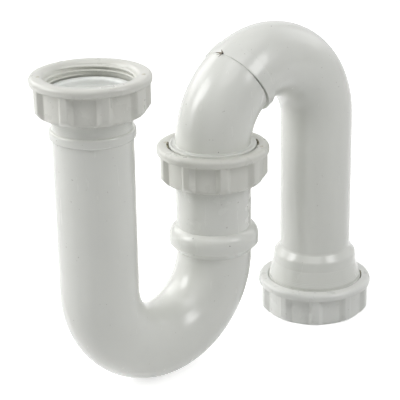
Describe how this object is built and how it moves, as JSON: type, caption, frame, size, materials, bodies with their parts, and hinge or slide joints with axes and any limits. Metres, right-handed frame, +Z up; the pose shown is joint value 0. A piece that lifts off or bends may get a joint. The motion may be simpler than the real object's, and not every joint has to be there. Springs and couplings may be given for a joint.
{
  "type": "s trap",
  "caption": "White moulded S trap for a basin or sink waste: deep U bend with a threaded inlet nut, upper bend that swivels at a union nut, and a compression outlet for a waste pipe.",
  "frame": {"origin": "centre of the inlet washer's sealing face, on the inlet nut's axis, where its thread begins", "axes": "+Z up out of the inlet nut, +X from the inlet leg towards the outlet leg, both bends in the XZ plane"},
  "size_m": [0.2367, 0.0694, 0.1895],
  "materials": {
    "tube_plastic": "smooth glossy white moulding with fine scuffs",
    "nut_plastic": "semi-gloss warm white moulding",
    "soft_washer": "soft cool white",
    "seal_rubber": "black moulded rubber",
    "slip_plastic": "waxy natural plastic"
  },
  "bodies": {
    "trap_body": {"u_bend": "tube_plastic", "riser": "tube_plastic", "inlet_washer": "soft_washer"},
    "inlet_nut": {"inlet_nut": "nut_plastic"},
    "union_nut": {"union_nut": "nut_plastic"},
    "union_seal": {"union_washer": "soft_washer"},
    "outlet_arm": {"elbow": "tube_plastic", "outlet_bend": "tube_plastic"},
    "outlet_seal_pack": {"outlet_seal": "seal_rubber", "outlet_slip_ring": "slip_plastic"},
    "outlet_nut": {"outlet_nut": "nut_plastic"}
  },
  "joints": [
    {"name": "inlet_nut_turn", "type": "hinge", "parent": "trap_body", "child": "inlet_nut", "pos_m": [0, 0, 0], "axis": [0, 0, 1], "continuous": true},
    {"name": "union_nut_turn", "type": "hinge", "parent": "trap_body", "child": "union_nut", "pos_m": [0.085, 0, -0.06], "axis": [0, 0, -1], "range_deg": [0, 900]},
    {"name": "union_lift", "type": "slide", "parent": "trap_body", "child": "union_seal", "axis": [0, 0, 1], "range_m": [0, 0.00577]},
    {"name": "outlet_swivel", "type": "hinge", "parent": "union_seal", "child": "outlet_arm", "pos_m": [0.085, 0, -0.06], "axis": [0, 0, 1], "range_deg": [-130, 130]},
    {"name": "outlet_seal_travel", "type": "slide", "parent": "outlet_arm", "child": "outlet_seal_pack", "axis": [0, 0, -1], "range_m": [0, 0.00599]},
    {"name": "outlet_nut_turn", "type": "hinge", "parent": "outlet_seal_pack", "child": "outlet_nut", "pos_m": [0.17, 0, -0.17], "axis": [0, 0, -1], "range_deg": [0, 720]}
  ],
  "couplings": [
    {"joint": "union_nut_turn", "follows": "union_lift", "rad_per_m": 2721.2},
    {"joint": "outlet_nut_turn", "follows": "outlet_seal_travel", "rad_per_m": 2094.4}
  ]
}
